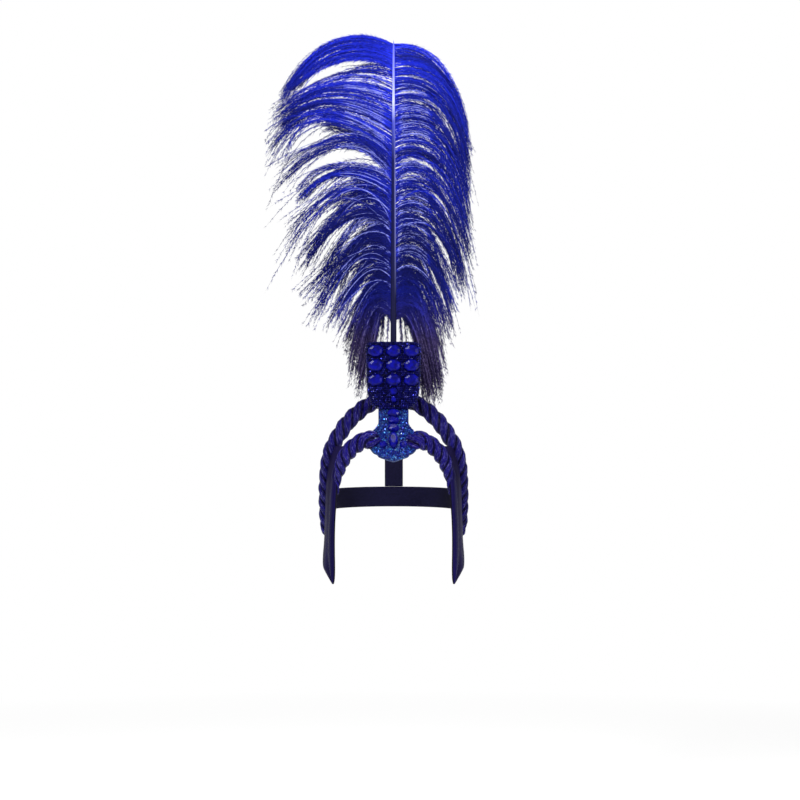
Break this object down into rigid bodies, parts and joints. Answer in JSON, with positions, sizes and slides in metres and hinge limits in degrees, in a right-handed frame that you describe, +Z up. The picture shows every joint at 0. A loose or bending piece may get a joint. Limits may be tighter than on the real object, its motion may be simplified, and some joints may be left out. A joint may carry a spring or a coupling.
{
  "type": "showgirl feather headdress",
  "caption": "Tall ostrich plume in a jewelled holder on a frame of twisted cloth ropes with satin side panels, worn over the crown and sides of the head.",
  "frame": {"origin": "where the crown of the wearer's head sits under the frame", "axes": "+Z up along the plume, -Y the way the wearer faces, +X to the wearer's left"},
  "size_m": [0.21, 0.1881, 0.5764],
  "materials": {
    "plume": "dyed ostrich feather, soft sheen",
    "holder_cloth": "dark navy sequin cloth over padding",
    "neck_cloth": "glitter cloth set with small stones",
    "stone": "royal blue cut stones, polished",
    "rope": "twisted satin cord, blue violet",
    "satin": "padded navy satin",
    "webbing": "plain navy elastic webbing"
  },
  "bodies": {
    "root": {"back_band": "webbing", "base_stone_1": "stone", "base_stone_2": "stone", "brow_rope_left": "rope", "brow_rope_right": "rope", "crown_rope_left": "rope", "crown_rope_right": "rope", "crown_strap": "webbing", "holder_stone_1": "stone", "holder_stone_2": "stone", "holder_stone_3": "stone", "holder_stone_4": "stone", "holder_stone_5": "stone", "holder_stone_6": "stone", "holder_stone_7": "stone", "holder_stone_8": "stone", "holder_stone_9": "stone", "neck_piece": "neck_cloth", "neck_stone_1": "stone", "neck_stone_2": "stone", "neck_stone_3": "stone", "peak_side_stone_left": "stone", "peak_side_stone_right": "stone", "peak_stone": "stone", "plume": "plume", "plume_holder": "holder_cloth", "side_panel_left": "satin", "side_panel_right": "satin"}
  },
  "joints": []
}
